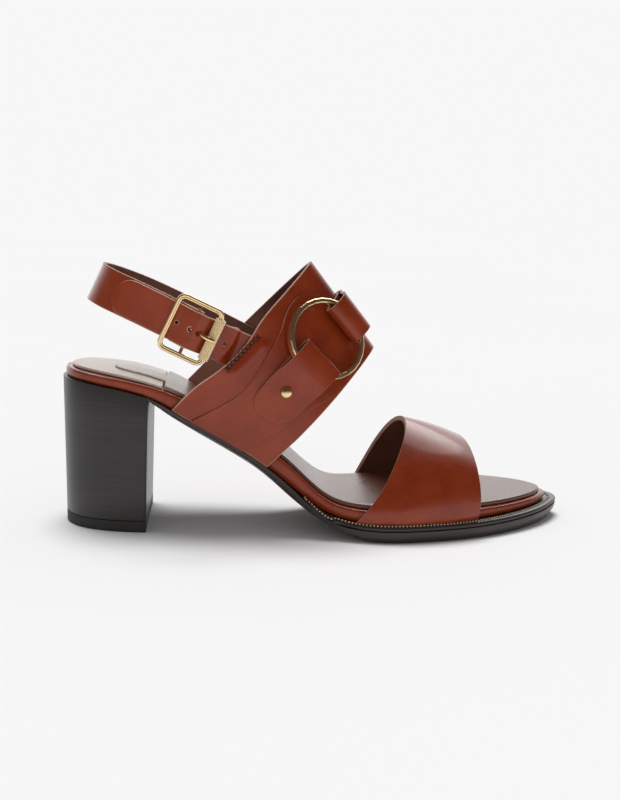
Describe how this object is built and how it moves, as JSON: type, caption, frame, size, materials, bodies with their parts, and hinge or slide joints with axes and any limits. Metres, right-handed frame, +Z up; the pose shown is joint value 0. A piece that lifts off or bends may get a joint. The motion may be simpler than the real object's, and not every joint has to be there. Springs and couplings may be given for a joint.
{
  "type": "block heel sandal",
  "caption": "Women's sandal with a high block heel, a wide strap over the toes, a slanted instep band with a ring between two tabs, and a buckled slingback strap.",
  "frame": {"origin": "centre of the bounding box, on the floor the shoe stands on", "axes": "+X from the heel to the toe, +Y to the medial (inner) side of this right shoe, +Z up"},
  "size_m": [0.2323, 0.0828, 0.1198],
  "materials": {
    "upper_leather": "polished cognac brown calf leather, raw light edges",
    "sock_leather": "thin glossy taupe brown insole leather",
    "sole_leather": "dark brown sole leather with waxed edges",
    "heel_stack": "near-black stacked leather with fine layer lines",
    "tip_rubber": "dark rubber top piece",
    "brass": "polished light gold brass"
  },
  "bodies": {
    "root": {"outsole": "sole_leather", "welt": "sole_leather", "insole_board": "upper_leather", "sock": "sock_leather", "heel_pad": "sock_leather", "heel_block": "heel_stack", "heel_tip": "tip_rubber", "instep_band": "upper_leather", "instep_overlay": "upper_leather", "lower_tab": "upper_leather", "upper_tab": "upper_leather", "ring": "brass", "stud_lateral": "brass", "stud_medial": "brass", "vamp_strap": "upper_leather", "back_strap": "upper_leather", "tail_strap": "upper_leather", "buckle_frame": "brass", "buckle_sleeve": "brass", "buckle_prong": "brass"}
  },
  "joints": []
}
